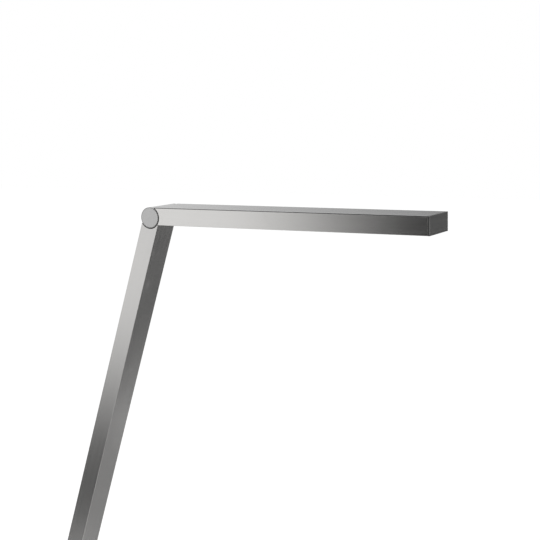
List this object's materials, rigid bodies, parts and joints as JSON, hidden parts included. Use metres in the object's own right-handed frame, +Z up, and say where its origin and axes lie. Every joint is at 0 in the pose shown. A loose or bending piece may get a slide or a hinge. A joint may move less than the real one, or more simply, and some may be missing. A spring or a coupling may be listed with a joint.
{
  "type": "floor lamp",
  "caption": "Floor lamp with a flat base plate, a leaning flat stem, a round barrel hinge and a level flat head with its light window, driver and button underneath.",
  "frame": {"origin": "centre of the base pad's underside, on the floor", "axes": "+Z up; +X from the stem's foot towards the head's tip; -Y is the side where head and stem are flush"},
  "size_m": [0.9853, 0.24, 1.2476],
  "materials": {
    "silver_aluminium": "brushed, clear anodised",
    "dark_aluminium": "milled, dark anodised",
    "base_coat": "fine-textured silver-grey powder coat on steel",
    "screw_steel": "zinc-plated, satin",
    "bronze": "sintered, oiled",
    "black_rubber": "matt, lightly grained",
    "grey_foam": "matt foam",
    "friction_plastic": "matt friction lining",
    "white_plastic": "matt moulded",
    "opal_plastic": "satin opal",
    "board_white": "white solder resist",
    "board_green": "green solder resist",
    "chip_yellow": "phosphor under clear resin",
    "black_plastic": "matt moulded"
  },
  "bodies": {
    "stand": {"base_plate": "base_coat", "base_pad": "black_rubber", "foot_screws": "screw_steel", "cord_gland": "black_rubber", "foot_block": "dark_aluminium", "foot_set_screws": "screw_steel", "stem_tube": "silver_aluminium", "stem_lead": "black_rubber", "lead_spacers": "grey_foam", "stem_hinge_block": "dark_aluminium", "stem_block_screws": "screw_steel", "hinge_bushes": "bronze"},
    "head": {"head_channel": "silver_aluminium", "top_cover": "silver_aluminium", "end_cap": "silver_aluminium", "near_disc": "silver_aluminium", "far_disc": "silver_aluminium", "head_hinge_block": "dark_aluminium", "heat_spreader": "dark_aluminium", "hinge_axle": "screw_steel", "spring_washers": "screw_steel", "hinge_nut": "screw_steel", "head_block_screws": "screw_steel", "end_cap_screws": "screw_steel", "spreader_screws": "screw_steel", "driver_screws": "screw_steel", "switch_posts": "screw_steel", "head_leads": "black_rubber", "friction_washers": "friction_plastic", "reflector_frame": "white_plastic", "driver": "white_plastic", "terminal_block": "white_plastic", "diffuser": "opal_plastic", "led_board": "board_white", "switch_board": "board_green", "led_chips": "chip_yellow", "switch_housing": "black_plastic"},
    "button": {"switch_plunger": "white_plastic", "button_cap": "dark_aluminium"}
  },
  "joints": [
    {"name": "head_hinge", "type": "hinge", "parent": "stand", "child": "head", "pos_m": [0.26878, 0, 1.23], "axis": [0, -1, 0], "range_deg": [0, 90]},
    {"name": "button_press", "type": "slide", "parent": "head", "child": "button", "axis": [0, 0, 1], "range_m": [0, 0.0012], "stiffness_N_per_m": 400}
  ]
}
